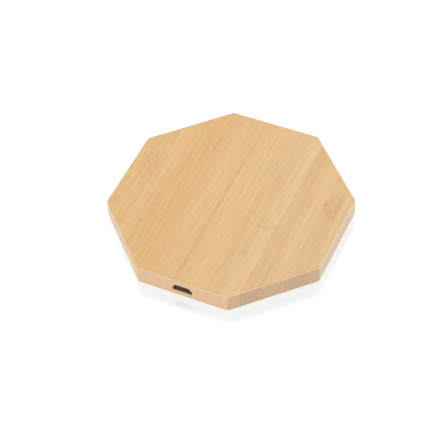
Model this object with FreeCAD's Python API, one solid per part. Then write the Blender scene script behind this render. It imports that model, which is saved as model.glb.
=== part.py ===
import FreeCAD
import Part
import math
import os

# Octagonal bamboo wireless charging pad.
#
# A block of edge-glued bamboo is milled out from below. A round plastic cover with a tab at the port closes
# it, held by four countersunk screws in the wooden ledge. Four silicone feet sit in blind recesses in every
# other corner. Inside, the flat transmitter coil is taped to the wooden ceiling with its ferrite under it,
# and a crescent-shaped circuit board beside the coil carries the power electronics and the Micro-B socket,
# all on its lower side.
#
# Millimetres. +Z is up, Z = 0 is the surface that the feet stand on, the origin is under the middle of the
# octagon, and the port faces -Y. The bamboo's grain runs along Y.

V = FreeCAD.Vector
UP = V(0, 0, 1)
ORIGIN = V(0, 0, 0)

# ---- driving dimensions ----
ACROSS_FLATS = 100.0
BODY_THICKNESS = 9.4
FOOT_PROUD = 0.3            # how far the feet hold the wood off the table
TOP_WALL = 2.1              # wood left between the coil and the phone

TOP_EDGE_ROUND = 0.5
BOTTOM_EDGE_ROUND = 1.5
UPRIGHT_EDGE_ROUND = 1.2

COVER_RECESS_R = 44.0
COVER_RECESS_DEPTH = 1.7
COVER_GAP = 0.3             # all round, between the cover and the wood
COVER_THICKNESS = 1.6
POCKET_R = 38.5
PORT_WALL = 3.2             # wood left in front of the board at the port
PORT_NOTCH_W = 20.4
CUTTER_R = 2.0              # inside corner radius that the router leaves

PORT_CENTRE_ABOVE_UNDERSIDE = 4.9
PORT_W = 8.9
PORT_TOP_W = 5.9
PORT_H = 3.5
PORT_SIDE_H = 1.9           # height of the upright part of the port's ends
PORT_MOUTH_CHAMFER = 0.25

SOCKET_W = 7.5
SOCKET_TOP_W = 5.3
SOCKET_H = 2.5
SOCKET_SIDE_H = 1.25
SOCKET_DEPTH = 5.3
SOCKET_SETBACK = 1.4        # from the pad's side face to the socket's lip
SHELL_SHEET = 0.25
LIP_FLARE = 0.25
LIP_LENGTH = 0.5

FOOT_D = 6.4
FOOT_RECESS_DEPTH = 0.8
FOOT_RING_R = 48.8

SCREW_RING_R = 41.0
SCREW_HEAD_D = 3.6
SCREW_CORE_D = 1.4
SCREW_THREAD_D = 2.0
SCREW_LENGTH = 5.4
SCREW_PITCH = 0.6

BOARD_THICKNESS = 1.0
BOARD_INNER_R = 26.0
BOARD_OUTER_R = 37.8
BOARD_HALF_ANGLE = 62.0     # degrees each side of the port
BOARD_TONGUE_W = 19.4
TAPE_THICKNESS = 0.15

WIRE_D = 1.04               # litz wire over its silk
COIL_OUTER_D = 44.0
COIL_PITCH = 1.07
COIL_HALF_TURNS = 21
GLUE_THICKNESS = 0.08
FERRITE_R = 23.0
FERRITE_THICKNESS = 1.25

# ---- levels and places worked out from them ----
UNDERSIDE_Z = FOOT_PROUD
TOP_Z = UNDERSIDE_Z + BODY_THICKNESS
LEDGE_Z = UNDERSIDE_Z + COVER_RECESS_DEPTH
CEILING_Z = TOP_Z - TOP_WALL
COVER_Z = LEDGE_Z - COVER_THICKNESS
COVER_R = COVER_RECESS_R - COVER_GAP
PORT_FACE_Y = -ACROSS_FLATS / 2
NOTCH_Y = PORT_FACE_Y + PORT_WALL
PORT_Z = UNDERSIDE_Z + PORT_CENTRE_ABOVE_UNDERSIDE
SOCKET_FRONT_Y = PORT_FACE_Y + SOCKET_SETBACK
SOCKET_BACK_Y = SOCKET_FRONT_Y + SOCKET_DEPTH
BOARD_Z = PORT_Z + SOCKET_H / 2          # lower, component side of the board
BOARD_FRONT_Y = NOTCH_Y + COVER_GAP
BOARD_MID_R = (BOARD_INNER_R + BOARD_OUTER_R) / 2
COIL_R = COIL_OUTER_D / 2 - WIRE_D / 2   # centreline of the outermost turn
COIL_INNER_R = COIL_R - (COIL_HALF_TURNS - 1) * COIL_PITCH / 2
COIL_Z = CEILING_Z - TAPE_THICKNESS - WIRE_D / 2
FERRITE_TOP_Z = COIL_Z - WIRE_D / 2 - GLUE_THICKNESS - 0.01
FERRITE_Z = FERRITE_TOP_Z - FERRITE_THICKNESS
OUTER_LEAD_Z = BOARD_Z - WIRE_D / 2 - 0.02
INNER_LEAD_Z = COIL_Z - WIRE_D - 0.04
LEAD_SLOT_W = 1.5
FOOT_ANGLES = [22.5 + 90 * i for i in range(4)]
SCREW_ANGLES = [45 + 90 * i for i in range(4)]


# ---- small geometry helpers ----
def polar(radius, degrees, z=0.0):
    a = math.radians(degrees)
    return V(radius * math.cos(a), radius * math.sin(a), z)


def cylinder(radius, z0, z1, x=0.0, y=0.0):
    return Part.makeCylinder(radius, z1 - z0, V(x, y, z0), UP)


def block(x0, x1, y0, y1, z0, z1):
    return Part.makeBox(x1 - x0, y1 - y0, z1 - z0, V(x0, y0, z0))


def rounded_outline(points, radii):
    """A closed wire through the points, each corner rounded by an arc tangent to its two sides."""
    starts, ends, middles = [], [], []
    count = len(points)
    for i in range(count):
        here = points[i]
        to_last = (points[i - 1] - here).normalize()
        to_next = (points[(i + 1) % count] - here).normalize()
        half = to_last.getAngle(to_next) / 2
        reach = radii[i] / math.tan(half)
        inward = (to_last + to_next).normalize()
        starts.append(here + to_last * reach)
        ends.append(here + to_next * reach)
        middles.append(here + inward * (radii[i] / math.sin(half) - radii[i]))
    edges = []
    for i in range(count):
        if radii[i] > 0:
            edges.append(Part.Arc(starts[i], middles[i], ends[i]).toShape())
        following = starts[(i + 1) % count]
        if ends[i].distanceToPoint(following) > 1e-6:
            edges.append(Part.LineSegment(ends[i], following).toShape())
    return Part.Wire(edges)


def extruded(wire, direction):
    return Part.Face(wire).extrude(direction)


def rounded_block(x0, x1, y0, y1, z0, z1, radius):
    corners = [V(x0, y0, z0), V(x1, y0, z0), V(x1, y1, z0), V(x0, y1, z0)]
    return extruded(rounded_outline(corners, [radius] * 4), V(0, 0, z1 - z0))


def upright_edges(solid):
    """The edges of a solid that run along Z."""
    found = []
    for edge in solid.Edges:
        ends = edge.Vertexes
        if len(ends) == 2 and edge.Curve.TypeId == "Part::GeomLine":
            run = ends[1].Point - ends[0].Point
            if abs(run.x) < 1e-6 and abs(run.y) < 1e-6:
                found.append(edge)
    return found


def edges_at_z(solid, z):
    """The edges that lie in the level plane at z."""
    return [e for e in solid.Edges if abs(e.BoundBox.ZMin - z) < 1e-6 and abs(e.BoundBox.ZMax - z) < 1e-6]


def connector_outline(width, top_width, height, side_height, y, grow=0.0, corner=0.5):
    """The Micro-B outline in the plane at y: flat wide bottom, upright ends, and sloping top corners."""
    x, top_x = width / 2 + grow, top_width / 2 + grow * 0.6
    low = PORT_Z - height / 2 - grow
    high = PORT_Z + height / 2 + grow
    side = PORT_Z - height / 2 + side_height
    right = [V(x, y, low), V(x, y, side), V(top_x, y, high)]
    left = [V(-top_x, y, high), V(-x, y, side), V(-x, y, low)]
    return rounded_outline(right + left, [corner] + [corner * 0.8] * 4 + [corner])


def dropped(shape, angle, radius, spin=0.0):
    """Puts a component, modelled standing on Z = 0, under the board at a polar place, turned to face it."""
    placed = shape.copy()
    placed.rotate(ORIGIN, V(1, 0, 0), 180)
    placed.rotate(ORIGIN, UP, angle + 90 + spin)
    placed.translate(polar(radius, angle, BOARD_Z))
    return placed


# ---- the wooden body ----
def octagon_block():
    corner_r = ACROSS_FLATS / 2 / math.cos(math.radians(22.5))
    corners = [polar(corner_r, 22.5 + 45 * i, UNDERSIDE_Z) for i in range(8)]
    outline = rounded_outline(corners, [UPRIGHT_EDGE_ROUND] * 8)
    solid = extruded(outline, V(0, 0, BODY_THICKNESS))
    solid = solid.makeFillet(TOP_EDGE_ROUND, edges_at_z(solid, TOP_Z))
    return solid.makeFillet(BOTTOM_EDGE_ROUND, edges_at_z(solid, UNDERSIDE_Z))


def port_hole():
    size = (PORT_W, PORT_TOP_W, PORT_H, PORT_SIDE_H)
    hole = extruded(connector_outline(*size, PORT_FACE_Y - 1, corner=0.7), V(0, PORT_WALL + 2, 0))
    inner = connector_outline(*size, PORT_FACE_Y + PORT_MOUTH_CHAMFER, corner=0.7)
    outer = connector_outline(*size, PORT_FACE_Y, grow=PORT_MOUTH_CHAMFER, corner=0.7)
    return hole.fuse(Part.makeLoft([inner, outer], True, True))


def port_notch(clearance, z0, z1):
    """The rectangle that runs from the round recess out to the port wall, smaller all round by clearance."""
    half = PORT_NOTCH_W / 2 - clearance
    return rounded_block(-half, half, NOTCH_Y + clearance, -POCKET_R + 8, z0, z1, CUTTER_R - clearance)


def bamboo_body():
    body = octagon_block()
    cuts = [
        cylinder(COVER_RECESS_R, UNDERSIDE_Z - 1, LEDGE_Z),
        cylinder(POCKET_R, UNDERSIDE_Z, CEILING_Z),
        port_notch(0.0, UNDERSIDE_Z - 1, CEILING_Z),
        port_hole(),
    ]
    for angle in FOOT_ANGLES:
        at = polar(FOOT_RING_R, angle)
        cuts.append(cylinder(FOOT_D / 2 + 0.1, UNDERSIDE_Z - 1, UNDERSIDE_Z + FOOT_RECESS_DEPTH, at.x, at.y))
    for angle in SCREW_ANGLES:
        at = polar(SCREW_RING_R, angle)
        top = COVER_Z + SCREW_LENGTH + 0.5
        cuts.append(cylinder(SCREW_THREAD_D / 2 + 0.02, LEDGE_Z - 1, top, at.x, at.y))
    return body.cut(cuts)


# ---- the cover, its screws and the feet ----
def countersink(x, y, clearance):
    """The conical seat of a screw head, from the cover's outer face upwards."""
    head_r = SCREW_HEAD_D / 2 + clearance
    shank_r = SCREW_THREAD_D / 2 + clearance
    seat = Part.makeCone(head_r, shank_r, head_r - shank_r, V(x, y, COVER_Z), UP)
    return seat.fuse(cylinder(shank_r, COVER_Z, LEDGE_Z + 1, x, y))


def bottom_cover():
    plate = cylinder(COVER_R, COVER_Z, LEDGE_Z)
    plate = plate.fuse(port_notch(COVER_GAP, COVER_Z, LEDGE_Z)).removeSplitter()
    plate = plate.makeChamfer(0.3, edges_at_z(plate, COVER_Z))
    foam_fence = cylinder(17.2, LEDGE_Z, LEDGE_Z + 1.0).cut(cylinder(16.0, LEDGE_Z - 1, LEDGE_Z + 2))
    foam_fence = foam_fence.cut(block(-3, 3, -20, 0, LEDGE_Z - 1, LEDGE_Z + 2))
    socket_bottom = PORT_Z - SOCKET_H / 2 - 0.05
    stop_y = SOCKET_BACK_Y + 0.4
    ribs = [foam_fence, block(-3.1, 3.1, stop_y, stop_y + 1.2, LEDGE_Z, socket_bottom)]
    for x in (-2.6, 0.0, 2.6):
        ribs.append(block(x - 0.5, x + 0.5, BOARD_FRONT_Y + 0.6, stop_y, LEDGE_Z, socket_bottom))
    plate = plate.fuse(ribs).removeSplitter()
    cuts = [rounded_block(-19, 19, 8, 30, COVER_Z - 1, COVER_Z + 0.2, 2.5)]
    for angle in SCREW_ANGLES:
        at = polar(SCREW_RING_R, angle)
        cuts.append(countersink(at.x, at.y, 0.2))
    return plate.cut(cuts)


def screw():
    """A countersunk self-tapping screw, head down at Z = 0, its thread as a stack of ridges."""
    head_r, core_r, thread_r = SCREW_HEAD_D / 2, SCREW_CORE_D / 2, SCREW_THREAD_D / 2
    cone_z = head_r - thread_r
    profile = [V(0, 0, 0), V(head_r - 0.1, 0, 0), V(head_r, 0, 0.1), V(thread_r, 0, cone_z + 0.1)]
    profile.append(V(core_r, 0, cone_z + 0.35))
    z = COVER_THICKNESS - 0.2
    while z + SCREW_PITCH < SCREW_LENGTH - 0.9:
        profile += [V(core_r, 0, z), V(thread_r, 0, z + SCREW_PITCH * 0.42)]
        profile.append(V(core_r, 0, z + SCREW_PITCH * 0.84))
        z += SCREW_PITCH
    profile += [V(core_r, 0, SCREW_LENGTH - 0.9), V(0, 0, SCREW_LENGTH)]
    face = Part.Face(Part.makePolygon(profile + [profile[0]]))
    solid = face.revolve(ORIGIN, UP, 360)
    for turn in (0, 90):
        blade = Part.makeBox(2.1, 0.42, 0.75, V(-1.05, -0.21, -0.01))
        blade.rotate(ORIGIN, UP, turn)
        solid = solid.cut(blade)
    return solid


def cover_screws():
    placed = []
    for angle in SCREW_ANGLES:
        one = screw()
        one.rotate(ORIGIN, UP, angle * 1.7)
        one.translate(polar(SCREW_RING_R, angle, COVER_Z + 0.05))
        placed.append(one)
    return Part.makeCompound(placed)


def foot(angle):
    at = polar(FOOT_RING_R, angle)
    pad = cylinder(FOOT_D / 2, 0, UNDERSIDE_Z + FOOT_RECESS_DEPTH, at.x, at.y)
    return pad.makeFillet(0.25, edges_at_z(pad, 0))


# ---- the coil, its ferrite and what holds them ----
def s_bend(x, y0, z0, y1, z1):
    """Two equal arcs in the plane at x that step a wire running along Y from one level to another."""
    run, rise = y1 - y0, z1 - z0
    radius = (run * run + rise * rise) / (4 * abs(rise))
    half_turn = math.asin(abs(run) / 2 / radius)
    way, climb = math.copysign(1, run), math.copysign(1, rise)
    mid = V(x, (y0 + y1) / 2, (z0 + z1) / 2)
    side = radius * math.sin(half_turn / 2)
    sag = radius * (1 - math.cos(half_turn / 2))
    first = V(x, y0 + way * side, z0 + climb * sag)
    second = V(x, y1 - way * side, z1 - climb * sag)
    return [Part.Arc(V(x, y0, z0), first, mid).toShape(), Part.Arc(mid, second, V(x, y1, z1)).toShape()]


def line(a, b):
    return Part.LineSegment(a, b).toShape()


OUTER_LEAD_END_Y = -18.6
OUTER_LEAD_BEND = (-14.3, -9.2)      # Y where the outer lead climbs from the board to the winding
INNER_LEAD_END_Y = -28.4
INNER_LEAD_DROP_Y = -4.1


def coil_path():
    """Outer lead, the spiral as half circles about two centres, and the inner lead under the winding."""
    low_y, high_y = OUTER_LEAD_BEND
    edges = [line(V(COIL_R, OUTER_LEAD_END_Y, OUTER_LEAD_Z), V(COIL_R, low_y, OUTER_LEAD_Z))]
    edges += s_bend(COIL_R, low_y, OUTER_LEAD_Z, high_y, COIL_Z)
    edges.append(line(V(COIL_R, high_y, COIL_Z), V(COIL_R, 0, COIL_Z)))
    step = COIL_PITCH / 2
    for k in range(COIL_HALF_TURNS):
        radius = COIL_R - k * step
        centre_x, way = (0.0, 1) if k % 2 == 0 else (-step, -1)
        start = V(centre_x + way * radius, 0, COIL_Z)
        middle = V(centre_x, way * radius, COIL_Z)
        end = V(centre_x - way * radius, 0, COIL_Z)
        edges.append(Part.Arc(start, middle, end).toShape())
    edges += s_bend(-COIL_INNER_R, 0, COIL_Z, INNER_LEAD_DROP_Y, INNER_LEAD_Z)
    under = V(-COIL_INNER_R, INNER_LEAD_DROP_Y, INNER_LEAD_Z)
    edges.append(line(under, V(-COIL_INNER_R, INNER_LEAD_END_Y, INNER_LEAD_Z)))
    return Part.Wire(edges)


def transmitter_coil():
    start = V(COIL_R, OUTER_LEAD_END_Y, OUTER_LEAD_Z)
    section = Part.Wire(Part.makeCircle(WIRE_D / 2, start, V(0, 1, 0)))
    return coil_path().makePipeShell([section], True, False)


def lead_slot(z0, z1):
    """The slot in the ferrite and glue film that lets the inner lead out under the winding."""
    half = LEAD_SLOT_W / 2
    return rounded_block(-COIL_INNER_R - half, -COIL_INNER_R + half, -FERRITE_R - 1, 1.0, z0, z1, half * 0.95)


def ferrite_disc():
    disc = cylinder(FERRITE_R, FERRITE_Z, FERRITE_TOP_Z).cut(lead_slot(FERRITE_Z - 1, FERRITE_TOP_Z + 1))
    return disc.makeChamfer(0.15, [e for e in edges_at_z(disc, FERRITE_Z) if e.Length > 60])


def coil_glue_film():
    z0, z1 = FERRITE_TOP_Z, FERRITE_TOP_Z + GLUE_THICKNESS
    ring = cylinder(COIL_OUTER_D / 2, z0, z1).cut(cylinder(COIL_INNER_R - WIRE_D / 2, z0 - 1, z1 + 1))
    return ring.cut(lead_slot(z0 - 1, z1 + 1))


def coil_tape():
    return cylinder(COIL_OUTER_D / 2 - 0.5, CEILING_Z - TAPE_THICKNESS, CEILING_Z)


def foam_pad():
    ring = cylinder(15.0, LEDGE_Z, FERRITE_Z).cut(cylinder(4.0, LEDGE_Z - 1, FERRITE_Z + 1))
    return ring.cut(block(-1.6, 1.6, -20, 0, LEDGE_Z - 1, FERRITE_Z + 1))


THERMISTOR_LEAD_D = 0.5
THERMISTOR_LEAD_Z = FERRITE_Z - 0.9


def thermistor_bead():
    bead = Part.makeSphere(1.1, V(0, 0, THERMISTOR_LEAD_Z))
    return bead.common(cylinder(2, THERMISTOR_LEAD_Z - 2, FERRITE_Z)).cut(thermistor_leads())


def thermistor_leads():
    placed = []
    bend_r = 1.0
    for x in (-0.45, 0.45):
        y_turn = -27.0
        a = V(x, -0.3, THERMISTOR_LEAD_Z)
        b = V(x, y_turn + bend_r, THERMISTOR_LEAD_Z)
        cut = bend_r * (1 - math.sqrt(0.5))
        mid = V(x, y_turn + cut, THERMISTOR_LEAD_Z + cut)
        c = V(x, y_turn, THERMISTOR_LEAD_Z + bend_r)
        path = Part.Wire([line(a, b), Part.Arc(b, mid, c).toShape(), line(c, V(x, y_turn, BOARD_Z))])
        section = Part.Wire(Part.makeCircle(THERMISTOR_LEAD_D / 2, a, V(0, 1, 0)))
        placed.append(path.makePipeShell([section], True, False))
    return Part.makeCompound(placed)


# ---- the circuit board ----
SHELL_LEGS = [(side, SOCKET_BACK_Y - back) for side in (-1, 1) for back in (0.5, 1.9)]
LEG_W = 0.7


def crescent(inset, z0, z1, front_y, tongue_w):
    ring = cylinder(BOARD_OUTER_R - inset, z0, z1).cut(cylinder(BOARD_INNER_R + inset, z0 - 1, z1 + 1))
    reach = 80.0
    spread = BOARD_HALF_ANGLE - math.degrees(inset / BOARD_MID_R)
    low = z0 - 1
    fan = [V(0, 0, low), polar(reach, -90 - spread, low), V(0, -reach, low), polar(reach, -90 + spread, low)]
    wedge = Part.Face(Part.makePolygon(fan + [fan[0]])).extrude(V(0, 0, z1 - z0 + 2))
    board = ring.common(wedge)
    board = board.makeFillet(2.5 - inset / 2, upright_edges(board))
    tongue = rounded_block(-tongue_w / 2, tongue_w / 2, front_y, -BOARD_MID_R, z0, z1, CUTTER_R - COVER_GAP)
    return board.fuse(tongue).removeSplitter()


def circuit_board():
    top = BOARD_Z + BOARD_THICKNESS
    board = crescent(0.0, BOARD_Z, top, BOARD_FRONT_Y, BOARD_TONGUE_W)
    cuts = []
    for side, y in SHELL_LEGS:
        x = side * (SOCKET_W / 2 - SHELL_SHEET / 2)
        slot_end = LEG_W / 2 + 0.1
        cuts.append(rounded_block(x - 0.3, x + 0.3, y - slot_end, y + slot_end, BOARD_Z - 1, top + 1, 0.28))
    for angle in (-90 - BOARD_HALF_ANGLE + 5, -90 + BOARD_HALF_ANGLE - 5):
        at = polar(BOARD_OUTER_R - 2.2, angle)
        cuts.append(cylinder(0.8, BOARD_Z - 1, top + 1, at.x, at.y))
    return board.cut(cuts)


def board_tape():
    return crescent(1.6, CEILING_Z - TAPE_THICKNESS, CEILING_Z, BOARD_FRONT_Y + 6.5, BOARD_TONGUE_W - 4)


def solder_joints():
    coil = transmitter_coil()
    placed = []
    for x, y in ((COIL_R, OUTER_LEAD_END_Y), (-COIL_INNER_R, INNER_LEAD_END_Y)):
        dome = Part.makeSphere(1.5, V(x, y, BOARD_Z)).common(cylinder(2, BOARD_Z - 2, BOARD_Z, x, y))
        placed.append(dome.cut(coil))
    return Part.makeCompound(placed)


# ---- the Micro-B socket ----
def socket_outline(y, grow):
    return connector_outline(SOCKET_W, SOCKET_TOP_W, SOCKET_H, SOCKET_SIDE_H, y, grow=grow, corner=0.45)


def usb_shell():
    lip_y = SOCKET_FRONT_Y + LIP_LENGTH
    depth = V(0, SOCKET_BACK_Y - lip_y, 0)
    outer = extruded(socket_outline(lip_y, 0.0), depth)
    inner = extruded(socket_outline(lip_y - 1, -SHELL_SHEET), depth + V(0, 2, 0))
    flare = [socket_outline(SOCKET_FRONT_Y, LIP_FLARE), socket_outline(lip_y, 0.0)]
    mouth = [socket_outline(SOCKET_FRONT_Y, LIP_FLARE - SHELL_SHEET), socket_outline(lip_y, -SHELL_SHEET)]
    lip = Part.makeLoft(flare, True, True).cut(Part.makeLoft(mouth, True, True))
    shell = outer.cut(inner).fuse(lip)
    low_z = PORT_Z - SOCKET_H / 2
    spring_y = SOCKET_FRONT_Y + 1.6
    for x in (-1.9, 1.9):
        shell = shell.cut(block(x - 0.45, x + 0.45, spring_y, spring_y + 1.6, low_z - 1, low_z + 0.5))
    legs = []
    for side, y in SHELL_LEGS:
        x = side * (SOCKET_W / 2 - SHELL_SHEET / 2)
        half = SHELL_SHEET / 2
        legs.append(block(x - half, x + half, y - LEG_W / 2, y + LEG_W / 2, PORT_Z - 0.3, BOARD_Z + 0.85))
    return shell.fuse(legs).removeSplitter()


CONTACT_X = [0.65 * (i - 2) for i in range(5)]
CONTACT_SHEET = 0.15
TONGUE_Z = PORT_Z - 0.05


def contact(x):
    """One contact: a blade under the tongue, a riser behind the shell and a foot under the board."""
    s = CONTACT_SHEET
    front, rise, foot_end = SOCKET_FRONT_Y + 1.3, SOCKET_BACK_Y + 0.1, SOCKET_BACK_Y + 1.0
    under = BOARD_Z
    corners = [
        (front, TONGUE_Z - s), (rise + s, TONGUE_Z - s), (rise + s, under - s), (foot_end, under - s),
        (foot_end, under), (rise, under), (rise, TONGUE_Z), (front, TONGUE_Z),
    ]
    points = [V(x - 0.125, y, z) for y, z in corners]
    return Part.Face(Part.makePolygon(points + [points[0]])).extrude(V(0.25, 0, 0))


def usb_contacts():
    return Part.makeCompound([contact(x) for x in CONTACT_X])


def usb_insulator():
    base_front = SOCKET_BACK_Y - 1.5
    base = extruded(socket_outline(base_front, -SHELL_SHEET - 0.01), V(0, 1.2, 0))
    low = TONGUE_Z - CONTACT_SHEET
    tongue = rounded_block(-1.9, 1.9, SOCKET_FRONT_Y + 0.9, base_front + 0.5, low, TONGUE_Z + 0.5, 0.3)
    return base.fuse(tongue).removeSplitter().cut(usb_contacts()).cut(usb_shell())


# ---- components under the board ----
# Sizes are (length, width, height, terminal length); places are (angle, radius, spin) under the board.
def chip_part(length, width, height, end):
    """A two-terminal chip: its body between the terminals, and the two terminals."""
    body = block(-length / 2 + end, length / 2 - end, -width / 2, width / 2, 0.02, height - 0.03)
    caps = [
        block(-length / 2, -length / 2 + end, -width / 2, width / 2, 0, height),
        block(length / 2 - end, length / 2, -width / 2, width / 2, 0, height),
    ]
    return body, caps


def place_chips(size, places):
    """Bodies and terminals of equal chips at (angle, radius, spin) places."""
    bodies, terminals = [], []
    for angle, radius, spin in places:
        body, caps = chip_part(*size)
        bodies.append(dropped(body, angle, radius, spin))
        terminals += [dropped(cap, angle, radius, spin) for cap in caps]
    return Part.makeCompound(bodies), Part.makeCompound(terminals)


RESONANT_SIZE = (3.2, 2.5, 2.2, 0.5)
RESONANT_PLACES = [(-54.5 + 5.0 * i, 34.4, 90) for i in range(4)]
INPUT_SIZE = (3.2, 1.6, 1.6, 0.5)
INPUT_PLACES = [(-90 + side * 9.2, 38.6, 90) for side in (-1, 1)]
SENSE_SIZE = (6.4, 3.2, 0.6, 0.8)
SENSE_PLACES = [(-92.0, 33.2, 0)]
RESISTOR_SIZE = (1.6, 0.8, 0.45, 0.3)
RESISTOR_PLACES = [(-103.0 - 3.4 * i, 36.3, 90) for i in range(7)]
RESISTOR_PLACES += [(-77.5 + 3.4 * i, 36.4, 90) for i in range(5)]
SMALL_CAP_SIZE = (1.6, 0.8, 0.8, 0.3)
SMALL_CAP_PLACES = [(-121.0 - 4.2 * i, 27.9, 0) for i in range(5)]
SMALL_CAP_PLACES += [(-80.0 + 4.2 * i, 27.9, 0) for i in range(5)]
CONTROLLER_PLACE = (-129.0, 32.2, 0)
BRIDGE_PLACES = [(-76.0, 32.3, 90), (-63.5, 32.3, 90)]


def qfn_chip():
    body = rounded_block(-2.5, 2.5, -2.5, 2.5, 0.03, 0.85, 0.05)
    mark = cylinder(0.3, 0.8, 1.0, -1.9, 1.9)
    return body.cut(mark)


def qfn_pads():
    pads = [block(-1.7, 1.7, -1.7, 1.7, 0, 0.03)]
    for i in range(8):
        at = 0.5 * (i - 3.5)
        for turn in (0, 90, 180, 270):
            pad = block(at - 0.12, at + 0.12, 2.15, 2.5, 0, 0.03)
            pad.rotate(ORIGIN, UP, turn)
            pads.append(pad)
    return pads


def so8_body():
    corners = [(-2.0, 0.6), (-1.85, 0.15), (1.85, 0.15), (2.0, 0.6), (1.85, 1.5), (-1.85, 1.5)]
    points = [V(x, -2.45, z) for x, z in corners]
    body = Part.Face(Part.makePolygon(points + [points[0]])).extrude(V(0, 4.9, 0))
    return body.cut(cylinder(0.35, 1.45, 2.0, -1.2, 1.8))


def so8_leads():
    """Eight gull-wing leads, four on each long side."""
    s = 0.18
    half_z = 0.6
    corners = [
        (1.96, half_z - s / 2), (2.35, half_z - s / 2), (2.5, 0), (3.0, 0), (3.0, s), (2.62, s),
        (2.47, half_z + s / 2), (1.96, half_z + s / 2),
    ]
    leads = []
    for side in (0, 180):
        for i in range(4):
            points = [V(x, 1.27 * (i - 1.5) - 0.2, z) for x, z in corners]
            lead = Part.Face(Part.makePolygon(points + [points[0]])).extrude(V(0, 0.4, 0))
            lead.rotate(ORIGIN, UP, side)
            leads.append(lead.cut(so8_body()))
    return leads


def bridge_packages():
    return Part.makeCompound([dropped(so8_body(), *place) for place in BRIDGE_PLACES])


def bridge_leads():
    return Part.makeCompound([dropped(lead, *place) for place in BRIDGE_PLACES for lead in so8_leads()])


def controller_pads():
    return Part.makeCompound([dropped(pad, *CONTROLLER_PLACE) for pad in qfn_pads()])


def build():
    resonant, resonant_ends = place_chips(RESONANT_SIZE, RESONANT_PLACES)
    inputs, input_ends = place_chips(INPUT_SIZE, INPUT_PLACES)
    sense, sense_ends = place_chips(SENSE_SIZE, SENSE_PLACES)
    resistors, resistor_ends = place_chips(RESISTOR_SIZE, RESISTOR_PLACES)
    small_caps, small_cap_ends = place_chips(SMALL_CAP_SIZE, SMALL_CAP_PLACES)
    ends = [resonant_ends, input_ends, sense_ends, resistor_ends, small_cap_ends]
    nodes = {
        "bamboo_body": bamboo_body(),
        "bottom_cover": bottom_cover(),
        "cover_screws": cover_screws(),
        "transmitter_coil": transmitter_coil(),
        "ferrite_disc": ferrite_disc(),
        "coil_glue_film": coil_glue_film(),
        "coil_tape": coil_tape(),
        "foam_pad": foam_pad(),
        "thermistor_bead": thermistor_bead(),
        "thermistor_leads": thermistor_leads(),
        "circuit_board": circuit_board(),
        "board_tape": board_tape(),
        "solder_joints": solder_joints(),
        "usb_shell": usb_shell(),
        "usb_insulator": usb_insulator(),
        "usb_contacts": usb_contacts(),
        "controller_chip": dropped(qfn_chip(), *CONTROLLER_PLACE),
        "controller_pads": controller_pads(),
        "bridge_packages": bridge_packages(),
        "bridge_leads": bridge_leads(),
        "resonant_capacitors": resonant,
        "input_capacitors": inputs,
        "sense_resistor": sense,
        "small_resistors": resistors,
        "small_capacitors": small_caps,
        "chip_terminals": Part.makeCompound([s for group in ends for s in group.Solids]),
    }
    for number, angle in enumerate(FOOT_ANGLES, 1):
        nodes[f"foot_{number}"] = foot(angle)
    return nodes


def main():
    os.makedirs("parts", exist_ok=True)
    for name, shape in build().items():
        solids = shape.Solids
        good = all(s.isValid() and s.isClosed() and s.Volume > 0 for s in solids)
        print(f"{name}: {len(solids)} solids, {shape.Volume:.1f} mm3, {'ok' if good and solids else 'BAD'}")
        shape.exportStep(f"parts/{name}.step")


main()
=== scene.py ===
import math
from collections import namedtuple
from types import SimpleNamespace

import bpy
from mathutils import Matrix, Vector

# Octagonal bamboo wireless charging pad. Metres, in the CAD frame: +Z up, the port faces -Y, and the grain
# runs along Y. Every CAD node keeps its own mesh and gets a procedural material here. The materials work
# in object coordinates turned into millimetres, so their patterns have real sizes.

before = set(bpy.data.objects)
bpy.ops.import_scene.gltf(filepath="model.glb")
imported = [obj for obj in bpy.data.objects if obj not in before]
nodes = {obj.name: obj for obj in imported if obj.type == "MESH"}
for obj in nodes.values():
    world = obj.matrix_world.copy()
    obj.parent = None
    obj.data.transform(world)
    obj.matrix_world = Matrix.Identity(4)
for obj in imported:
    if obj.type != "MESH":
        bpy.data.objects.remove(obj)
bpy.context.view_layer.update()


# ---- material building ----
MM_PER_M = 1000.0


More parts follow.
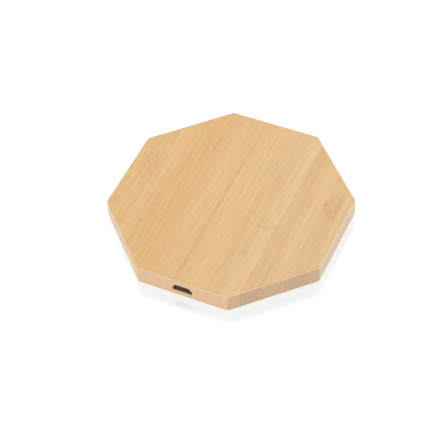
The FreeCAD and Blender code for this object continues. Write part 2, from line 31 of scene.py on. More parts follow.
class Shader:
    """One node-based material. Its methods take numbers or sockets and give back sockets.

    here, x, y and z are the place in millimetres, and normal holds the three parts of the surface's normal.
    """

    def __init__(self, name):
        self.material = bpy.data.materials.new(name)
        self.material.use_nodes = True
        self.tree = self.material.node_tree
        self.tree.nodes.clear()
        self.bsdf = self.node("BsdfPrincipled")
        self.put(self.node("OutputMaterial").inputs["Surface"], self.bsdf.outputs["BSDF"])
        coordinates = self.node("TexCoord")
        self.normal = self.split(coordinates.outputs["Normal"])
        self.here = self.scaled(coordinates.outputs["Object"], MM_PER_M)
        self.x, self.y, self.z = self.split(self.here)

    def node(self, kind, **settings):
        made = self.tree.nodes.new("ShaderNode" + kind)
        for name, value in settings.items():
            setattr(made, name, value)
        return made

    def put(self, socket, value):
        if isinstance(value, bpy.types.NodeSocket):
            self.tree.links.new(value, socket)
        else:
            socket.default_value = value

    def set(self, **values):
        """Sets the Principled shader's sockets; underscores in a name stand for spaces."""
        for name, value in values.items():
            self.put(self.bsdf.inputs[name.replace("_", " ")], value)

    def split(self, vector):
        parts = self.node("SeparateXYZ")
        self.put(parts.inputs[0], vector)
        return parts.outputs

    def at(self, x, y, z):
        joined = self.node("CombineXYZ")
        for socket, value in zip(joined.inputs, (x, y, z)):
            self.put(socket, value)
        return joined.outputs[0]

    def math(self, operation, *values):
        made = self.node("Math", operation=operation)
        for socket, value in zip(made.inputs, values):
            self.put(socket, value)
        return made.outputs[0]

    def abs(self, value):
        """The value without its sign."""
        return self.math("ABSOLUTE", value)

    def add(self, *values):
        total = values[0]
        for value in values[1:]:
            total = self.math("ADD", total, value)
        return total

    def times(self, *values):
        product = values[0]
        for value in values[1:]:
            product = self.math("MULTIPLY", product, value)
        return product

    def swing(self, noise, amount):
        """Turns noise from 0 to 1 into a swing to both sides of 0, amount wide in all."""
        return self.times(self.add(noise, -0.5), amount)

    def map_range(self, interpolation, *values):
        made = self.node("MapRange", interpolation_type=interpolation)
        for socket, value in zip(made.inputs, values):
            self.put(socket, value)
        return made.outputs[0]

    def fade(self, value, start, end, low=0.0, high=1.0):
        """Runs smoothly from low, where value is at start, to high, where it is at end."""
        return self.map_range("SMOOTHSTEP", value, start, end, low, high)

    def ramp(self, value, start, end, low=0.0, high=1.0):
        """Runs straight from low, where value is at start, to high, where it is at end."""
        return self.map_range("LINEAR", value, start, end, low, high)

    def within(self, value, low, high, soft):
        """1 where value lies between low and high, with soft edges outside them."""
        return self.times(self.fade(value, low - soft, low), self.fade(value, high + soft, high))

    def noise(self, where, scale=1.0, detail=2.0, roughness=0.5, distortion=0.0):
        made = self.node("TexNoise")
        self.put(made.inputs["Vector"], where)
        self.put(made.inputs["Scale"], scale)
        self.put(made.inputs["Detail"], detail)
        self.put(made.inputs["Roughness"], roughness)
        self.put(made.inputs["Distortion"], distortion)
        return made.outputs["Fac"]

    def cells(self, where, scale=1.0):
        """The distance to the middle of the nearest cell."""
        made = self.node("TexVoronoi")
        self.put(made.inputs["Vector"], where)
        self.put(made.inputs["Scale"], scale)
        return made.outputs["Distance"]

    def mix(self, amount, first, second, blend="MIX"):
        """Between two colours. A colour is three numbers or a socket."""
        made = self.node("Mix", data_type="RGBA", blend_type=blend)
        self.put(made.inputs[0], amount)
        for socket, colour in ((made.inputs[6], first), (made.inputs[7], second)):
            self.put(socket, colour if isinstance(colour, bpy.types.NodeSocket) else (*colour, 1.0))
        return made.outputs[2]

    def scaled(self, vector, factor):
        made = self.node("VectorMath", operation="SCALE")
        self.put(made.inputs[0], vector)
        self.put(made.inputs["Scale"], factor)
        return made.outputs[0]

    def bump(self, height, depth_mm, strength):
        made = self.node("Bump")
        self.put(made.inputs["Strength"], strength)
        self.put(made.inputs["Distance"], depth_mm / MM_PER_M)
        self.put(made.inputs["Height"], height)
        self.put(self.bsdf.inputs["Normal"], made.outputs["Normal"])


def toned(colour, factor):
    """The colour made lighter or darker by a factor, no part of it past 1."""
    return tuple(min(1.0, part * factor) for part in colour)


# ---- bamboo: the pattern, in millimetres ----
STRIP_W = 7.0                  # width of one bamboo strip
FIRST_SEAM_X = -52.25          # left edge of the strip at the far left
# From -X to +X, how deep in colour each strip is at its left and right edges (0 is palest straw, 1 is deep
# honey), and how much lighter the whole strip is than its neighbours.
STRIPS = [
    (0.70, 0.70, -0.012), (0.99, 0.95, 0.011), (0.75, 0.91, 0.007),
    (0.95, 1.10, 0.007), (1.12, 1.00, 0.003), (0.90, 0.80, 0.014),
    (0.80, 0.84, 0.014), (0.75, 0.69, 0.008), (0.58, 0.62, 0.006),
    (0.64, 0.58, -0.010), (0.42, 0.06, 0.002), (0.66, 0.60, -0.026),
    (0.36, 0.20, -0.012), (0.54, 0.46, -0.024), (0.35, 0.25, -0.016),
]

# A streak along the grain: its centre, half width and half length, how much deeper the wood is there (or
# paler, below 0), and how much redder.
Streak = namedtuple("Streak", "x y half_width half_length deeper redder")
STREAKS = [
    Streak(-3.9, 0.0, 1.0, 60.0, 0.25, 1.00),
    Streak(3.3, 10.0, 0.4, 42.0, -1.00, 0.00),
    Streak(4.2, 24.0, 0.4, 26.0, 0.35, 0.40),
    Streak(-19.3, 28.0, 0.7, 9.0, 0.45, 0.80),
    Streak(-16.5, 8.0, 0.6, 15.0, 0.40, 0.40),
    Streak(-38.5, -8.0, 0.5, 11.0, 0.45, 0.70),
    Streak(-31.3, -34.0, 0.9, 12.0, 0.50, 0.90),
    Streak(-23.1, 0.0, 0.5, 50.0, 0.30, 0.50),
    Streak(-14.5, -36.0, 0.9, 12.0, 0.35, 0.20),
    Streak(37.4, -20.0, 0.5, 12.0, 0.35, 0.30),
    Streak(26.8, 30.0, 1.2, 15.0, 0.30, 0.40),
    Streak(-28.0, 8.0, 0.5, 40.0, 0.20, 0.50),
    Streak(24.1, 18.0, 0.6, 30.0, -0.25, 0.00),
    Streak(-12.4, 5.0, 0.7, 50.0, -0.35, 0.00),
    Streak(-7.0, -10.0, 0.9, 40.0, -0.25, 0.00),
    Streak(34.6, 5.0, 0.5, 30.0, -0.30, 0.00),
    Streak(45.0, -8.0, 0.5, 25.0, 0.30, 0.30),
    Streak(12.0, 0.0, 0.5, 50.0, 0.20, 0.30),
]

BROWN = (0.480, 0.235, 0.095)
RUSSET = (0.600, 0.240, 0.095)
PLUM = (0.600, 0.225, 0.130)

# One of the stem's joints, where it shows in a strip: its centre, half width and half length, how it slopes,
# how far the fibres bend aside, the length of the dark dashes, how strongly the whole patch is stained, how
# strong the dashes are, how pale the wood is between them, and the stain's colour.
Knuckle = namedtuple(
    "Knuckle", "x y half_width half_length slope bend dash_length stain dashes paleness dark"
)
KNUCKLES = [
    Knuckle(-40.5, 6.5, 5.6, 9.0, 0.0, 0.5, 3.4, 0.07, 0.30, 0.10, RUSSET),
    Knuckle(20.9, -7.8, 5.2, 3.0, 0.30, 0.2, 1.2, 0.03, 0.38, 0.22, PLUM),
    Knuckle(21.2, -5.4, 4.8, 3.0, 0.30, 0.2, 1.2, 0.00, 0.14, 0.45, BROWN),
    Knuckle(43.0, 11.6, 4.6, 8.8, 0.0, 0.2, 4.2, 0.18, 0.32, 0.00, PLUM),
    Knuckle(9.0, 25.5, 3.4, 4.8, -0.3, 0.3, 1.3, 0.02, 0.32, 0.12, BROWN),
    Knuckle(-46.8, -18.0, 2.2, 3.4, 0.4, 0.2, 1.6, 0.14, 0.22, 0.00, RUSSET),
    Knuckle(-22.0, -3.0, 3.0, 5.0, 0.2, 0.2, 2.0, 0.03, 0.15, 0.15, BROWN),
]

# The box round the port's opening, from its mouth inwards, where painted shade darkens the wood.
PORT_HALF_WIDTH = 4.9
PORT_BOTTOM_Z, PORT_TOP_Z = 3.1, 7.3
PORT_MOUTH_Y, PORT_INNER_Y = -49.75, -46.0

# ---- bamboo: the colours ----
STRAW = (0.772, 0.555, 0.273)
HONEY = (0.710, 0.400, 0.121)
CREAM = (0.860, 0.680, 0.430)
ROSY_TINT = (1.0, 0.925, 0.940)
SAWN_LONG = (0.742, 0.500, 0.290)
SAWN_SIDE = (0.745, 0.474, 0.277)
SAWN_DEEP = (0.675, 0.410, 0.237)
# painted light: a lit copy of the side colour for the slanting faces that face -X
SAWN_SIDE_PAINTED_LIGHT = (0.748, 0.479, 0.241)
SAWN_END = (0.863, 0.548, 0.286)
# painted highlight colour for the rounded edges
PAINTED_EDGE_HIGHLIGHT = (0.930, 0.690, 0.410)
# painted shade multiplied into the lowest part of the sides
PAINTED_FOOT_SHADE = (0.920, 0.965, 1.0)
# painted shade inside the port: dark brown at the mouth, darker further in
PAINTED_PORT_SHADE = (0.440, 0.225, 0.100)
PAINTED_DEEP_PORT_SHADE = (0.200, 0.120, 0.065)


def strips(s):
    """(depth of colour, lightness) of the strip at each point, stepping at the seams."""
    # The lightness is kept about 0.5 in the ramp, whose end colours sit 0.06 mm inside each strip's seams.
    span = STRIP_W * len(STRIPS)
    ramp = s.node("ValToRGB")
    stops = ramp.color_ramp.elements
    stops.remove(stops[1])
    inset = 0.06 / span
    for number, (left, right, lightness) in enumerate(STRIPS):
        start = stops[0] if number == 0 else stops.new(STRIP_W * number / span + inset)
        start.color = (left, 0.5 + lightness, 0.0, 1.0)
        end = stops.new(STRIP_W * (number + 1) / span - inset)
        end.color = (right, 0.5 + lightness, 0.0, 1.0)
    s.put(ramp.inputs["Fac"], s.times(s.add(s.x, -FIRST_SEAM_X), 1.0 / span))
    depth, lightness, _ = s.split(ramp.outputs["Color"])
    return depth, s.add(lightness, -0.5)


def strip_phase(s):
    """0 at a strip's left edge and 1 at its right edge."""
    return s.math("FRACT", s.times(s.add(s.x, -FIRST_SEAM_X), 1.0 / STRIP_W))


def grain_noise(s, fibre_x, across, along, inward, shift=0.0, **settings):
    """Noise drawn out along the grain, with how often it varies per millimetre in X, in Y and in Z."""
    place = s.at(s.times(fibre_x, across), s.times(s.y, along), s.add(s.times(s.z, inward), shift))
    return s.noise(place, **settings)


def seam_lines(s, phase, least):
    """Thin dark glue lines between the strips: 1 where they show best, and least where they show worst."""
    to_seam = s.math("SUBTRACT", 0.5, s.abs(s.add(phase, -0.5)))
    patchy = grain_noise(s, s.x, 0.14, 0.04, 0.04, detail=1.0)
    return s.times(s.fade(to_seam, 0.030, 0.010), s.fade(patchy, 0.40, 0.65, least, 1.0))


def streaks(s, fibre_x):
    """(depth, redness) of the named streaks, which wax and wane along the grain."""
    depth, red = 0.0, 0.0
    # The number moves each streak to its own part of the noise.
    for number, streak in enumerate(STREAKS):
        waxing = s.noise(s.at(number * 7.3, s.times(s.y, 0.09), s.times(s.z, 0.02)))
        here = s.times(
            s.fade(s.abs(s.add(fibre_x, -streak.x)), streak.half_width, streak.half_width * 0.3),
            s.fade(s.abs(s.add(s.y, -streak.y)), streak.half_length, streak.half_length * 0.7),
            s.fade(waxing, 0.30, 0.60, 0.50, 1.0),
        )
        depth = s.add(depth, s.times(here, streak.deeper))
        red = s.add(red, s.times(here, streak.redder))
    return depth, red


def along_knuckle(s, knuckle, ahead=0.0):
    """How far in Y each point is past the knuckle's sloping middle, or past a line that far ahead of it."""
    rise = s.times(s.add(s.x, -knuckle.x), knuckle.slope)
    return s.math("SUBTRACT", s.add(s.y, -knuckle.y - ahead), rise)


def bent_fibres(s):
    """Where each fibre runs in X: fibres wander a little, and swing aside at the knuckles."""
    fibre_x = s.add(s.x, s.swing(grain_noise(s, s.x, 0.05, 0.016, 0.05), 1.4))
    for knuckle in KNUCKLES:
        across = s.abs(s.add(s.x, -knuckle.x))
        near = s.times(
            s.fade(s.abs(along_knuckle(s, knuckle, ahead=1.0)), knuckle.half_length * 0.75, 0.0),
            s.fade(across, knuckle.half_width * 1.6, knuckle.half_width * 0.8),
        )
        fibre_x = s.add(fibre_x, s.times(near, knuckle.bend))
    return fibre_x


def with_knuckles(s, colour, fibre_x):
    """The colour with the knuckles drawn in: ragged stained patches with dark dashes and pale flecks."""
    # The number moves each knuckle to its own part of the noise.
    for number, knuckle in enumerate(KNUCKLES):
        across = s.add(fibre_x, -knuckle.x)
        along = along_knuckle(s, knuckle)
        layer = s.add(s.times(s.z, 0.5), 13.0 * number)
        out_x = s.times(across, 1.0 / knuckle.half_width)
        out_y = s.times(along, 1.0 / knuckle.half_length)
        reach = s.math("SQRT", s.add(s.times(out_x, out_x), s.times(out_y, out_y)))
        ragged = s.noise(s.at(s.times(s.x, 0.5), s.times(s.y, 0.28), layer), detail=3.0)
        patch = s.fade(s.add(reach, s.swing(ragged, 1.1)), 1.10, 0.45)
        fibre_at = s.at(s.times(across, 2.0), s.times(along, 1.0 / knuckle.dash_length), layer)
        fibres = s.noise(fibre_at, distortion=0.3)
        dark_here = s.fade(fibres, 0.46, 0.60, knuckle.stain, knuckle.stain + knuckle.dashes)
        colour = s.mix(s.times(patch, dark_here), colour, knuckle.dark)
        colour = s.mix(s.times(patch, s.fade(fibres, 0.48, 0.38), knuckle.paleness), colour, CREAM)
    return colour


def grain_layers(s, fibre_x, phase):
    """The wood's grain, from the finest to the broadest, and what stands out in it, each from 0 to 1."""
    # Fibre bundles stand closer together towards one side of each strip, where the stem's skin was.
    packed_x = s.add(s.times(fibre_x, 1.25), s.times(phase, phase, 4.0))
    bundles = s.cells(s.at(packed_x, s.times(s.y, 0.015), s.times(s.z, 1.5)))
    thread = grain_noise(s, fibre_x, 1.9, 0.028, 1.9, shift=25.0, detail=1.0)
    pores = grain_noise(s, fibre_x, 5.5, 0.55, 5.5, roughness=0.7)
    return SimpleNamespace(
        fine=grain_noise(s, fibre_x, 3.6, 0.13, 3.6, detail=3.0, roughness=0.65),
        middle=grain_noise(s, fibre_x, 1.25, 0.04, 1.25),
        broad=grain_noise(s, fibre_x, 0.45, 0.022, 0.4),
        blush=grain_noise(s, fibre_x, 0.62, 0.045, 0.6, shift=60.0, detail=1.5),
        bundles=s.fade(bundles, 0.34, 0.10),
        dark_thread=s.fade(thread, 0.60, 0.68),
        pale_thread=s.fade(thread, 0.40, 0.33),
        pores=s.fade(pores, 0.60, 0.72),
    )


def grain_depth(s, grain):
    """How much deeper in colour the grain makes the wood."""
    return s.add(
        s.swing(grain.fine, 0.12),
        s.swing(grain.middle, 0.25),
        s.swing(grain.broad, 0.55),
        s.times(grain.bundles, 0.06),
        s.times(grain.dark_thread, 0.12),
        s.times(grain.pale_thread, -0.15),
    )


def grain_tone(s, grain):
    """How much lighter the grain makes the wood."""
    return s.add(
        s.swing(grain.fine, -0.32),
        s.swing(grain.middle, -0.08),
        s.swing(grain.broad, -0.05),
        s.times(grain.bundles, -0.012),
        s.times(grain.dark_thread, -0.040),
        s.times(grain.pale_thread, 0.035),
    )


def planed_colour(s, grain, depth, streak_red, fibre_x, phase):
    """The planed and oiled faces, with the blush, the streaks, the knuckles, the pores and the seams."""
    colour = s.mix(s.ramp(depth, -0.2, 1.6), STRAW, HONEY)
    rosy = s.math("MAXIMUM", s.fade(grain.blush, 0.34, 0.66), streak_red)
    colour = s.mix(rosy, colour, ROSY_TINT, blend="MULTIPLY")
    colour = s.mix(s.times(streak_red, 0.17), colour, RUSSET)
    colour = with_knuckles(s, colour, fibre_x)
    colour = s.mix(s.times(grain.pores, 0.10), colour, BROWN)
    return s.mix(s.times(seam_lines(s, phase, 0.0), 0.12), colour, BROWN)


def sawn_colour(s, grain, depth, phase):
    """The sawn sides, which are pinker. The faces cut square across the fibres are the palest."""
    cross_cut = s.abs(s.normal[1])
    deep = s.ramp(depth, 0.15, 0.85)
    # Painted light: slanting faces that face -X get a warmer, slightly lighter copy of the side colour.
    slanting = s.mix(s.fade(s.normal[0], -0.40, -0.65), s.mix(deep, SAWN_SIDE, SAWN_DEEP), SAWN_SIDE_PAINTED_LIGHT)
    square = s.mix(s.times(deep, 0.5), SAWN_END, SAWN_SIDE)
    colour = s.mix(s.fade(cross_cut, 0.30, 0.60), SAWN_LONG, slanting)
    colour = s.mix(s.fade(cross_cut, 0.78, 0.95), colour, square)
    colour = s.mix(s.times(grain.bundles, 0.05), colour, BROWN)
    return s.mix(s.times(seam_lines(s, phase, 0.7), 0.30), colour, RUSSET)


def with_painted_edge_light_and_foot_shade(s, colour, edge):
    """Painted light: a painted highlight along the rounded edges, and painted shade on the lowest part."""
    highlight_patches = s.noise(s.at(s.times(s.x, 0.25), s.times(s.y, 0.25), s.z), detail=3.0)
    # Painted highlight: the rounded edges are mixed paler, in patches, where they catch the light.
    colour = s.mix(s.times(edge, s.fade(highlight_patches, 0.30, 0.60, 0.50, 0.80)), colour, PAINTED_EDGE_HIGHLIGHT)
    # Painted shade: below 3.2 mm the colour is darkened and greyed towards the floor.
    return s.mix(s.fade(s.z, 3.2, 1.4), colour, PAINTED_FOOT_SHADE, blend="MULTIPLY")


def with_painted_port_shade(s, colour):
    """The colour with painted shade inside the port, darker further in."""
    in_port = s.times(
        s.within(s.x, -PORT_HALF_WIDTH, PORT_HALF_WIDTH, 0.1),
        s.within(s.z, PORT_BOTTOM_Z, PORT_TOP_Z, 0.1),
        s.within(s.y, PORT_MOUTH_Y, PORT_INNER_Y, 0.08),
    )
    inwards = s.fade(s.y, PORT_MOUTH_Y + 0.15, PORT_MOUTH_Y + 1.35)
    return s.mix(in_port, colour, s.mix(inwards, PAINTED_PORT_SHADE, PAINTED_DEEP_PORT_SHADE))


def bamboo():
    s = Shader("laminated_bamboo")
    phase = strip_phase(s)
    fibre_x = bent_fibres(s)
    strip_depth, strip_lightness = strips(s)
    streak_depth, streak_red = streaks(s, fibre_x)
    grain = grain_layers(s, fibre_x, phase)
    depth = s.add(strip_depth, streak_depth, grain_depth(s, grain))
    tone = s.add(1.0, strip_lightness, grain_tone(s, grain))
    levelness = s.abs(s.normal[2])
    upright = s.fade(levelness, 0.60, 0.25)
    edge = s.within(levelness, 0.22, 0.94, 0.05)

    planed = planed_colour(s, grain, depth, streak_red, fibre_x, phase)
    colour = s.scaled(s.mix(upright, planed, sawn_colour(s, grain, depth, phase)), tone)
    colour = with_painted_port_shade(s, with_painted_edge_light_and_foot_shade(s, colour, edge))
    relief = s.add(s.times(grain.fine, -0.7), s.times(grain.bundles, -0.3), s.times(grain.pores, -0.8))
    s.bump(relief, 0.035, 0.6)
    gloss = s.add(s.ramp(grain.fine, 0.25, 0.75, 0.36, 0.48), s.times(upright, -0.10), s.times(edge, -0.16))
    s.set(Base_Color=colour, Roughness=gloss, IOR=1.55)
    return s.material


# ---- plastics, rubber and foam ----
def moulded(name, colour, grain_mm, roughness, scuffs=0.0):
    """Moulded plastic or rubber: a fine grained surface, faint flow mottling and a few scuffs."""
    s = Shader(name)
    grain = s.noise(s.here, scale=1.0 / grain_mm, detail=3.0, roughness=0.6)
    flow = s.noise(s.here, scale=0.09, detail=3.0, distortion=0.8)
    scuffed = s.fade(s.noise(s.at(s.times(s.x, 0.3), s.times(s.y, 2.2), s.z), detail=4.0), 0.62, 0.72)
    lighter = tuple(part * 1.15 + 0.035 for part in colour)
    scraped = tuple(part + 0.10 for part in lighter)
    shade = s.mix(s.fade(flow, 0.3, 0.7, 0.0, 0.5), colour, lighter)
    shade = s.mix(s.times(scuffed, scuffs), shade, scraped)
    s.bump(grain, grain_mm * 0.25, 0.5)
    s.set(Base_Color=shade, Roughness=s.fade(flow, 0.3, 0.7, roughness - 0.05, roughness + 0.07))
    return s.material


def foam():
    """Closed-cell foam, with painted shade darker down in its cells."""
    s = Shader("closed_cell_foam")
    pores = s.cells(s.here, scale=2.2)
    # Painted shade: the colour darkens down in the hollow cells.
    shade = s.mix(s.fade(pores, 0.15, 0.6), (0.018, 0.018, 0.02), (0.075, 0.075, 0.08))
    s.bump(pores, 0.15, 0.8)
    s.set(Base_Color=shade, Roughness=s.fade(pores, 0.1, 0.7, 0.95, 0.82))
    return s.material


def tape(name, colour):
    """Tape or a film of glue: a fine weave with a few paler air bubbles."""
    s = Shader(name)
    weave = s.noise(s.at(s.times(s.x, 4.0), s.times(s.y, 4.0), s.z), detail=3.0)
    bubbles = s.fade(s.cells(s.here, scale=0.28), 0.22, 0.12)
    shade = s.mix(s.fade(weave, 0.35, 0.65), colour, toned(colour, 0.86))
    shade = s.mix(s.times(bubbles, 0.4), shade, toned(colour, 1.15))
    s.bump(s.add(weave, s.times(bubbles, 2.0)), 0.03, 0.5)
    s.set(Base_Color=shade, Roughness=s.fade(weave, 0.3, 0.7, 0.28, 0.45))
    return s.material


# ---- metals ----
def metal(name, colour, roughness, stretch, dull=0.35):
    """Plated sheet or drawn metal: brush marks stretched along one axis, and duller patches."""
    s = Shader(name)
    along = [s.times(axis, factor) for axis, factor in zip((s.x, s.y, s.z), stretch)]
    brushed = s.noise(s.at(*along), detail=4.0, roughness=0.65)
    patches = s.noise(s.here, scale=0.7, detail=3.0)
    shade = s.mix(s.fade(brushed, 0.3, 0.7), toned(colour, 0.84), colour)
    shade = s.mix(s.fade(patches, 0.5, 0.75, 0.0, dull), shade, toned(colour, 0.62))
    uneven = s.fade(patches, 0.3, 0.7, roughness - 0.06, roughness + 0.1)
    s.bump(brushed, 0.012, 0.5)
    s.set(Base_Color=shade, Metallic=1.0, Roughness=uneven)
    return s.material


def litz_wire():
    """Many fine enamelled strands laid in a twist under a thin silk serving."""
    s = Shader("litz_wire")
    radius = s.math("SQRT", s.add(s.times(s.x, s.x), s.times(s.y, s.y)))
    arc = s.times(s.math("ARCTAN2", s.y, s.x), radius)
    twist = s.add(s.times(arc, 2.6), s.times(radius, 5.0), s.times(s.z, 6.0))
    strand = s.math("SINE", s.times(twist, 2.2))
    fuzz = s.noise(s.at(s.times(arc, 1.5), s.times(radius, 8.0), s.times(s.z, 8.0)), detail=3.0)
    # Painted shade: the grooves between the strands are darkened.
    shade = s.mix(s.fade(strand, -1.0, 0.9), (0.17, 0.055, 0.022), (0.74, 0.34, 0.15))
    shade = s.mix(s.fade(fuzz, 0.45, 0.7, 0.0, 0.35), shade, (0.82, 0.52, 0.30))
    s.bump(strand, 0.04, 0.7)
    s.set(Base_Color=shade, Metallic=0.65, Roughness=s.fade(fuzz, 0.3, 0.7, 0.30, 0.48))
    return s.material


def solder():
    """Solder with a faintly frosted, uneven skin."""
    s = Shader("solder")
    frost = s.noise(s.here, scale=6.0, detail=3.0)
    shade = s.mix(s.fade(frost, 0.3, 0.7), (0.50, 0.50, 0.52), (0.80, 0.80, 0.81))
    s.bump(s.noise(s.here, scale=1.2), 0.08, 0.5)
    s.set(Base_Color=shade, Metallic=1.0, Roughness=s.fade(frost, 0.3, 0.7, 0.18, 0.36))
    return s.material


# ---- ceramics and the board ----
def fired(name, colour, roughness, speckle_mm):
    """A fired or pressed body with fine speckle and faint clouding."""
    s = Shader(name)
    speckle = s.cells(s.here, scale=1.0 / speckle_mm)
    cloud = s.noise(s.here, scale=0.25, detail=3.0)
    shade = s.mix(s.fade(cloud, 0.3, 0.7), toned(colour, 0.8), toned(colour, 1.18))
    shade = s.mix(s.fade(speckle, 0.32, 0.12, 0.0, 0.35), shade, toned(colour, 0.5))
    s.bump(speckle, speckle_mm * 0.08, 0.5)
    s.set(Base_Color=shade, Roughness=s.fade(cloud, 0.3, 0.7, roughness - 0.06, roughness + 0.08))
    return s.material


def circuit_board():
    """Green solder mask over copper tracks, with the laminate's weave faint in it and raw along the edges."""
    s = Shader("circuit_board")
    tracks = s.node("TexBrick", offset=0.37, squash=1.6)
    s.put(tracks.inputs["Vector"], s.at(s.times(s.x, 0.55), s.times(s.y, 0.55), 0.0))
    s.put(tracks.inputs["Scale"], 1.0)
    s.put(tracks.inputs["Mortar Size"], 0.07)
    s.put(tracks.inputs["Mortar Smooth"], 0.1)
    copper = tracks.outputs["Fac"]
    vias = s.fade(s.cells(s.at(s.x, s.y, 0.0), scale=0.42), 0.15, 0.11)
    weave = s.times(s.math("SINE", s.times(s.x, 9.0)), s.math("SINE", s.times(s.y, 9.0)))
    mask = s.mix(s.fade(weave, -1.0, 1.0, 0.0, 0.5), (0.008, 0.085, 0.036), (0.012, 0.110, 0.048))
    shade = s.mix(s.times(copper, 0.75), mask, (0.050, 0.250, 0.110))
    shade = s.mix(vias, shade, (0.62, 0.58, 0.42))
    edge = s.fade(s.abs(s.normal[2]), 0.6, 0.3)
    raw_laminate = s.mix(s.fade(weave, -1.0, 1.0), (0.32, 0.27, 0.13), (0.46, 0.40, 0.22))
    s.bump(s.add(copper, s.times(weave, 0.1)), 0.03, 0.6)
    s.set(Base_Color=s.mix(edge, shade, raw_laminate), Roughness=s.fade(edge, 0.0, 1.0, 0.26, 0.8))
    return s.material


# ---- which node gets which material ----
def dress(names, material):
    for name in names:
        mesh = nodes[name].data
        mesh.materials.clear()
        mesh.materials.append(material)


def dress_outside():
    cover = moulded("cover_abs", (0.022, 0.022, 0.024), grain_mm=0.16, roughness=0.50, scuffs=0.12)
    silicone = moulded("foot_silicone", (0.040, 0.040, 0.042), grain_mm=0.10, roughness=0.66, scuffs=0.05)
    screw_steel = metal("black_zinc_steel", (0.20, 0.20, 0.215), roughness=0.34, stretch=(1.5, 1.5, 14.0))
    dress(["bamboo_body"], bamboo())
    dress(["bottom_cover"], cover)
    dress([f"foot_{number}" for number in (1, 2, 3, 4)], silicone)
    dress(["cover_screws"], screw_steel)


def dress_coil_stack():
    epoxy = moulded("dipped_epoxy", (0.030, 0.022, 0.015), grain_mm=0.30, roughness=0.22)
    sleeve = moulded("lead_sleeve", (0.62, 0.56, 0.36), grain_mm=0.20, roughness=0.36)
    dress(["transmitter_coil"], litz_wire())
    dress(["ferrite_disc"], fired("ferrite", (0.060, 0.060, 0.064), roughness=0.46, speckle_mm=0.35))
    dress(["coil_glue_film"], tape("coil_glue", (0.72, 0.66, 0.48)))
    dress(["coil_tape", "board_tape"], tape("double_sided_tape", (0.78, 0.76, 0.70)))
    dress(["foam_pad"], foam())
    dress(["thermistor_bead"], epoxy)
    dress(["thermistor_leads"], sleeve)


def dress_socket():
    # Painted shade: the shell's metal gets a dark colour for the shade deep in the port.
    shell = metal("shell_dark_painted_shade", (0.200, 0.165, 0.130), roughness=0.38, stretch=(0.8, 16.0, 0.8))
    gold = metal("gold_flash", (0.83, 0.60, 0.22), roughness=0.22, stretch=(12.0, 1.0, 12.0), dull=0.1)
    insulator = moulded("socket_insulator", (0.012, 0.012, 0.013), grain_mm=0.08, roughness=0.44)
    dress(["usb_shell"], shell)
    dress(["usb_insulator"], insulator)
    dress(["usb_contacts"], gold)


def dress_board():
    package = moulded("chip_epoxy", (0.018, 0.018, 0.020), grain_mm=0.06, roughness=0.58)
    tin = metal("tin_plate", (0.70, 0.70, 0.71), roughness=0.32, stretch=(3.0, 3.0, 9.0))
    ceramic = fired("capacitor_ceramic", (0.40, 0.27, 0.16), roughness=0.42, speckle_mm=0.20)
    glaze = fired("resistor_glaze", (0.022, 0.022, 0.026), roughness=0.26, speckle_mm=0.15)
    dress(["circuit_board"], circuit_board())
    dress(["solder_joints"], solder())
    dress(["controller_chip", "bridge_packages"], package)
    dress(["controller_pads", "bridge_leads", "chip_terminals"], tin)
    dress(["resonant_capacitors", "input_capacitors", "small_capacitors"], ceramic)
    dress(["sense_resistor", "small_resistors"], glaze)


# ---- camera, floor and light ----
VIEW_AZIMUTH = 27.105          # degrees; 0 looks along +Y
VIEW_ELEVATION = 48.587
VIEW_ROLL = 3.685
CAMERA_DISTANCE = 0.72176
AIM_OFFSET = (-0.00509, -0.00210)   # along the camera's level right and its up
AIM_Z = 0.0005
LENS_MM = 134.81
SENSOR_MM = 36.0
FLOOR_HALF = 30.0              # from the middle of the floor to its edges
WORLD_STRENGTH = 0.65
LIGHT_DISTANCE = 1.6
# Square softboxes: the direction each stands in, its size, and its radiance.
LIGHTS = {
    "overhead": ((-0.30, 0.59, 0.75), 1.3, 1.4),
    "front_left": ((-0.40, -0.75, 0.62), 0.5, 5.5),
    "right": ((1.0, 0.8, 0.5), 0.6, 4.2),
}


def add_object(name, data):
    made = bpy.data.objects.new(name, data)
    bpy.context.scene.collection.objects.link(made)
    return made


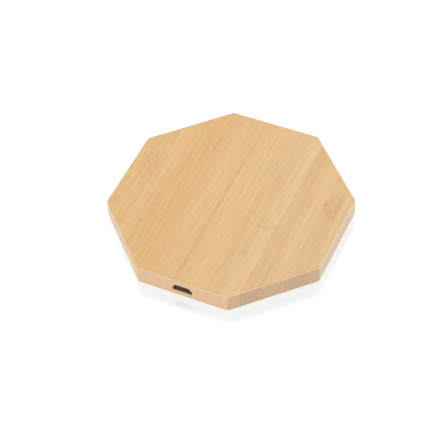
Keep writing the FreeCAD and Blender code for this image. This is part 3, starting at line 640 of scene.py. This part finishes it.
def make_camera():
    azimuth, elevation, roll = (math.radians(angle) for angle in (VIEW_AZIMUTH, VIEW_ELEVATION, VIEW_ROLL))
    right = Vector((math.cos(azimuth), math.sin(azimuth), 0.0))
    back = Vector((
        math.sin(azimuth) * math.cos(elevation),
        -math.cos(azimuth) * math.cos(elevation),
        math.sin(elevation),
    ))
    up = back.cross(right)
    place = back * CAMERA_DISTANCE + right * AIM_OFFSET[0] + up * AIM_OFFSET[1]
    place.z += AIM_Z
    turned_right = right * math.cos(roll) - up * math.sin(roll)
    turned_up = right * math.sin(roll) + up * math.cos(roll)
    turn = Matrix((turned_right, turned_up, back)).transposed()
    data = bpy.data.cameras.new("camera")
    data.lens = LENS_MM
    data.sensor_width = SENSOR_MM
    data.clip_start = 0.01
    camera = add_object("camera", data)
    camera.matrix_world = Matrix.Translation(place) @ turn.to_4x4()
    bpy.context.scene.camera = camera


def white_table():
    """A white light table under glossy acrylic, which mirrors the object faintly."""
    s = Shader("white_table")
    cloud = s.noise(s.here, scale=0.004)
    s.set(
        Base_Color=s.mix(cloud, (0.44, 0.44, 0.44), (0.46, 0.46, 0.46)),
        Roughness=s.fade(cloud, 0.2, 0.8, 0.15, 0.18),
        IOR=2.4,
        Emission_Color=s.mix(cloud, (0.490, 0.540, 0.580), (0.500, 0.550, 0.590)),
        Emission_Strength=1.0,
    )
    return s.material


def make_floor():
    mesh = bpy.data.meshes.new("floor")
    corners = [(x * FLOOR_HALF, y * FLOOR_HALF, 0.0) for x, y in ((-1, -1), (1, -1), (1, 1), (-1, 1))]
    mesh.from_pydata(corners, [], [(0, 1, 2, 3)])
    mesh.materials.append(white_table())
    add_object("floor", mesh)


def make_light():
    """White surroundings and softboxes that face the object. A softbox's power follows from its radiance."""
    world = bpy.data.worlds.new("studio")
    world.use_nodes = True
    background = world.node_tree.nodes["Background"]
    background.inputs["Color"].default_value = (1.0, 1.0, 1.0, 1.0)
    background.inputs["Strength"].default_value = WORLD_STRENGTH
    bpy.context.scene.world = world
    for name, (direction, size, radiance) in LIGHTS.items():
        data = bpy.data.lights.new(name, "AREA")
        data.shape = "SQUARE"
        data.size = size
        data.energy = radiance * math.pi * size * size
        light = add_object(name, data)
        light.location = Vector(direction).normalized() * LIGHT_DISTANCE
        light.rotation_euler = (-light.location).to_track_quat("-Z", "Y").to_euler()


dress_outside()
dress_coil_stack()
dress_socket()
dress_board()
make_camera()
make_floor()
make_light()
bpy.context.scene.view_settings.view_transform = "Standard"
